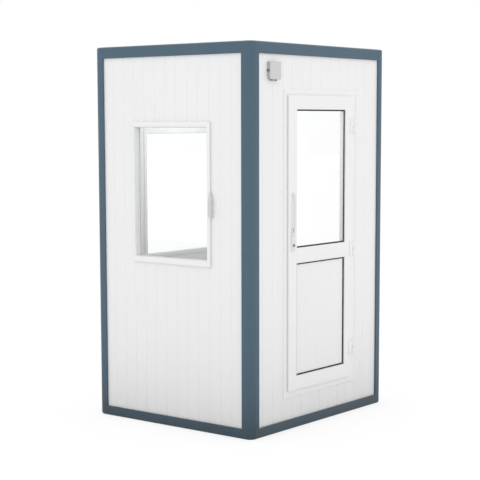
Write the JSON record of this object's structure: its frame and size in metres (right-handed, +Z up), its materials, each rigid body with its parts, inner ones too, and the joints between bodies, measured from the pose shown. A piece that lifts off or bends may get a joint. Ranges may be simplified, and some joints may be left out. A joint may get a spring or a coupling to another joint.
{
  "type": "security guard booth",
  "caption": "Free-standing guard booth: rounded blue-grey steel frame, white lined panel walls, windows on the sides and back, and a part-glazed hinged door beside a cable inlet box.",
  "frame": {"origin": "on the ground under the middle of the frame", "axes": "+Z up; the door faces -Y; the front-left window wall faces -X"},
  "size_m": [1.552, 1.385, 2.5],
  "materials": {
    "frame_paint": "satin blue-grey paint",
    "wall_panel": "white coil-coated steel skin with fine vertical lines",
    "roof_sheet": "pale grey-white coated sheet",
    "white_plastic": "smooth white window and door profile",
    "clear_glass": "clear",
    "black_rubber": "black gasket and gland rubber",
    "grey_plastic": "light grey moulded latch",
    "box_plastic": "light grey moulded box",
    "handle_metal": "white painted handle",
    "lock_metal": "dark lock cylinder",
    "floor_board": "coated floor board",
    "joist_steel": "primed steel"
  },
  "bodies": {
    "booth": {"back_wall": "wall_panel", "back_window_frame": "white_plastic", "back_window_glass": "clear_glass", "back_window_latch": "grey_plastic", "bottom_rail_back": "frame_paint", "bottom_rail_front": "frame_paint", "bottom_rail_left": "frame_paint", "bottom_rail_right": "frame_paint", "corner_block_back_left": "frame_paint", "corner_block_back_right": "frame_paint", "corner_block_front_left": "frame_paint", "corner_block_front_right": "frame_paint", "door_frame_head": "white_plastic", "door_frame_hinge_jamb": "white_plastic", "door_frame_lock_jamb": "white_plastic", "door_frame_threshold": "white_plastic", "floor_deck": "floor_board", "floor_joists": "joist_steel", "front_wall_head": "wall_panel", "front_wall_left": "wall_panel", "front_wall_right": "wall_panel", "front_wall_sill": "wall_panel", "hinges_frame_side": "white_plastic", "inlet_box": "box_plastic", "inlet_glands": "black_rubber", "inlet_lid": "box_plastic", "left_wall": "wall_panel", "left_window_frame": "white_plastic", "left_window_glass": "clear_glass", "left_window_latch": "grey_plastic", "post_back_left": "frame_paint", "post_back_right": "frame_paint", "post_front_left": "frame_paint", "post_front_right": "frame_paint", "right_wall": "wall_panel", "right_window_frame": "white_plastic", "right_window_glass": "clear_glass", "right_window_latch": "grey_plastic", "roof_panel": "roof_sheet", "top_rail_back": "frame_paint", "top_rail_front": "frame_paint", "top_rail_left": "frame_paint", "top_rail_right": "frame_paint"},
    "door": {"door_leaf_frame": "white_plastic", "door_glass": "clear_glass", "door_panel": "white_plastic", "door_gaskets": "black_rubber", "door_handle_outside": "handle_metal", "door_handle_inside": "handle_metal", "lock_cylinder": "lock_metal", "hinges_leaf_side": "white_plastic"}
  },
  "joints": [
    {"name": "door_hinge", "type": "hinge", "parent": "booth", "child": "door", "pos_m": [0.368, -0.678, 1.1395], "axis": [0, 0, 1], "range_deg": [0, 100]}
  ]
}
